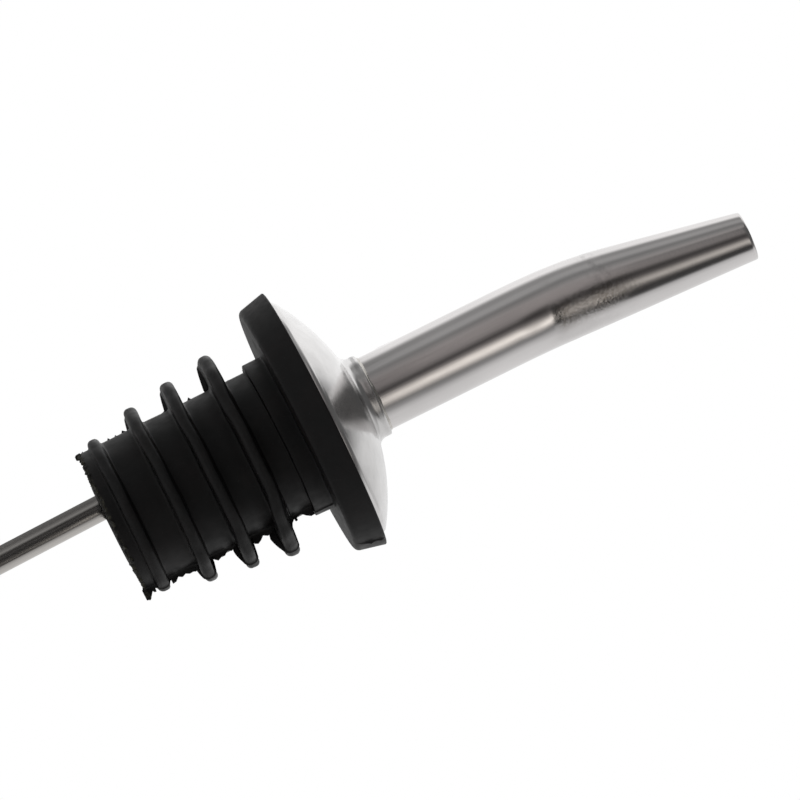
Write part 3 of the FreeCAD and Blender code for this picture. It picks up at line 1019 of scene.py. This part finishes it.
# Light as the object's steel shows it. Tables that go round have (degrees, level) stops, where
# 0 is where the camera stands and +90 is the side that the spout bends to.
TENT_ROUND = [
    (-180, 1.10), (-165, 1.16), (-150, 1.08), (-122, 1.18), (-115, 0.95), (-108, 0.56),
    (-100, 0.34), (-88, 0.35), (-80, 0.42), (-70, 0.42), (-64, 0.31), (-57, 0.24),
    (-50, 0.29), (-40, 0.37), (-22, 0.35), (-10, 0.29), (-3, 0.19), (4, 0.10),
    (12, 0.16), (20, 0.22), (50, 0.24), (58, 0.28), (65, 0.35), (71, 0.50),
    (77, 0.64), (90, 0.82), (110, 0.87), (145, 0.88), (180, 0.90),
]
# Under the tent's lower edge
TENT_BELOW = [
    (-180, 0.45), (-165, 0.18), (-85, 0.13), (-66, 0.21), (-52, 0.30), (-42, 0.20),
    (-32, 0.04), (-20, 0.03), (-12, 0.055), (0, 0.035), (40, 0.035), (50, 0.06),
    (60, 0.46), (72, 0.57), (90, 0.68), (140, 0.78), (180, 0.85),
]
# Between the tent's wall and its roof
TENT_ABOVE = [
    (-180, 1.10), (-110, 1.15), (-80, 0.50), (-62, 0.16), (-20, 0.12), (30, 0.12),
    (55, 0.16), (80, 0.45), (110, 0.68), (150, 0.70), (180, 1.0),
]
# A lamp on the wall: its level round the object, and its strength by degrees up
LAMP_ROUND = [
    (8, 0.0), (14, 0.10), (19, 0.36), (25, 0.74), (31, 0.98), (36, 0.88), (41, 0.60),
    (47, 0.27), (54, 0.0),
]
LAMP_UP = [
    (3.2, 0.95), (3.6, 1.00), (4.55, 1.08), (4.8, 1.50), (5.0, 1.55), (5.35, 0.70),
    (5.9, 0.55), (6.6, 0.72), (7.2, 0.60), (7.9, 0.25), (8.6, 0.08), (9.4, 0.06),
    (9.9, 0.16), (10.4, 0.30), (11.0, 0.45), (11.6, 0.52), (13.0, 0.56), (15.0, 0.50),
    (17.0, 0.0),
]
LAMP_TINT = (1.0, 0.955, 0.885)
FRONT_TINT = (1.0, 0.93, 0.915)  # of the wall on the camera's side
LOWER_EDGE = (3.15, 3.42)     # degrees up, where the tent's lower edge is seen
WALL_TOP = (30.0, 38.0)       # degrees up, where the wall ends, a little lower in front
ROOF_EDGE = (50.0, 68.0)      # degrees up, where the roof starts
GAP_MIDDLE = (0.0, 0.12, 0.993)  # towards the middle of the dark gap overhead
GAP_SQUEEZE = (2.5, 1.0, 1.0)  # it is so much narrower along X
GAP_EDGE = (20.0, 42.0)       # degrees off its middle, where the gap ends
GAP_LEVEL = 0.12


def grey(level):
    """Light without a tint."""
    return (level, level, level)


def wall_light(n, y, angle, height):
    """The tent's wall: its bands lean, and a soft shade covers part of the camera's side."""
    lean = n.times(n.ramp(height, 4.7, 12.7, 0.0, 7.0), n.ramp(angle, -115.0, -85.0))
    leaning = n.math("ADD", angle, lean)
    wall = n.bands(leaning, -180.0, 180.0, TENT_ROUND)
    front = n.ramp(y, -0.9, -0.4, 1.0, 0.0)
    wall = n.blend("MULTIPLY", wall, n.mix(front, grey(1.0), FRONT_TINT))
    shade = n.times(n.window(leaning, -14.0, 0.0, 64.0, 78.0), n.ramp(leaning, 42.0, 58.0, 0.55, 0.8))
    shade = n.times(shade, n.ramp(height, 5.2, 6.2), n.ramp(height, 12.8, 14.4, 1.0, 0.6))
    return n.mix(shade, wall, grey(0.0))


def lamp_light(n, angle, height):
    """The lamp on the wall: it winds to and fro, and its level changes, on the way up."""
    turn = n.math("ADD", n.ramp(height, 4.4, 4.85, 0.0, -6.0), n.ramp(height, 5.0, 7.0, 0.0, 10.0))
    lamp = n.bands(n.math("ADD", angle, turn), -180.0, 180.0, LAMP_ROUND, LAMP_TINT)
    return n.blend("MULTIPLY", lamp, n.bands(height, 0.0, 20.0, LAMP_UP))


def roof_light(n, x, y):
    """The tent's roof: dark over the camera, bright towards -X and less so towards +X."""
    roof = n.mix(n.ramp(x, -0.5, 0.5), grey(1.2), grey(0.68))
    return n.mix(n.ramp(y, -0.25, 0.2), grey(0.13), roof)


def off_gap(n, direction):
    """Degrees from the middle of the gap overhead, in a space squeezed along X."""
    wide = n.add("ShaderNodeVectorMath", {"operation": "MULTIPLY"}, i0=direction, i1=GAP_SQUEEZE)
    wide = n.add("ShaderNodeVectorMath", {"operation": "NORMALIZE"}, i0=wide.outputs[0])
    along = n.add(
        "ShaderNodeVectorMath", {"operation": "DOT_PRODUCT"}, i0=wide.outputs[0], i1=GAP_MIDDLE
    )
    return n.math("DEGREES", n.math("ARCCOSINE", along.outputs["Value"]))


def make_world():
    """Bright tent round the object, dim on the side that the camera looks from."""
    world = bpy.data.worlds.new("tent")
    bpy.context.scene.world = world
    world.use_nodes = True
    n = Nodes(world.node_tree)
    direction = n.add("ShaderNodeTexCoord").outputs["Generated"]
    x, y, z = n.add("ShaderNodeSeparateXYZ", i0=direction).outputs
    angle = n.math("DEGREES", n.math("ARCTAN2", x, n.times(y, -1.0)))
    height = n.math("DEGREES", n.math("ARCSINE", z))

    tent = n.blend("ADD", wall_light(n, y, angle, height), lamp_light(n, angle, height))
    below = n.bands(angle, -180.0, 180.0, TENT_BELOW)
    tent = n.mix(n.ramp(height, *LOWER_EDGE), below, tent)
    above = n.bands(angle, -180.0, 180.0, TENT_ABOVE)
    in_front = n.ramp(n.math("ABSOLUTE", angle), 35.0, 60.0, 15.0, 0.0)
    tent = n.mix(n.ramp(n.math("ADD", height, in_front), *WALL_TOP), tent, above)
    tent = n.mix(n.ramp(height, *ROOF_EDGE), tent, roof_light(n, x, y))
    tent = n.mix(n.ramp(off_gap(n, direction), *GAP_EDGE), grey(GAP_LEVEL), tent)

    seen = n.add("ShaderNodeLightPath").outputs["Is Camera Ray"]
    colour = n.mix(seen, tent, grey(1.0))
    background = n.add("ShaderNodeBackground", Color=colour, Strength=1.0)
    out = n.add("ShaderNodeOutputWorld")
    n.tree.links.new(background.outputs[0], out.inputs[0])


def make_floor():
    """Pale round floor just under the breather's end."""
    level = BREATHER_END_Z - FLOOR_GAP
    rim = [
        (FLOOR_RADIUS * math.cos(a), FLOOR_RADIUS * math.sin(a), level)
        for a in even_angles(FLOOR_CORNERS)
    ]
    floor = mesh_object("floor", rim, [tuple(range(FLOOR_CORNERS))])
    made, n = new_tree("floor")
    tone = n.mix(n.noise(40.0, 2.0), (0.86, 0.86, 0.855), (0.88, 0.88, 0.875))
    material(0.0, tone, 0.7, n.bump(n.noise(2.0), 0.02, 0.1), n)
    floor.data.materials.append(made)


# ---------------------------------------------------------------- assembly

RUBBER = rubber_material()
SPOUT_STEEL = steel_material("spout_steel", (0.66, 0.64, 0.635), 0.06, swaged=True)
DOME_STEEL = dome_material()
BREATHER_STEEL = steel_material("breather_steel", (0.6, 0.575, 0.55), 0.07)
BRAZE = braze_material()
PIECES = [
    # maker, material, body, CAD node, slot
    (make_stopper, RUBBER, "stopper", "stopper", "stopper_rubber"),
    (make_spout, SPOUT_STEEL, "spout", "spout_tube", "spout_steel"),
    (make_dome, DOME_STEEL, "spout", "dome_cap", "dome_steel"),
    (make_breather, BREATHER_STEEL, "spout", "breather_tube", "breather_steel"),
    (make_neck_braze, BRAZE, "spout", "neck_braze_ring", "braze"),
    (make_vent_braze, BRAZE, "spout", "vent_braze_ring", "braze"),
]

for make, finish, body, node, slot in PIECES:
    piece = make()
    piece.data.materials.clear()
    piece.data.materials.append(finish)
    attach(piece, body)
    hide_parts(node)

make_camera()
make_world()
make_floor()
bpy.context.scene.view_settings.view_transform = "Standard"

bpy.context.view_layer.update()
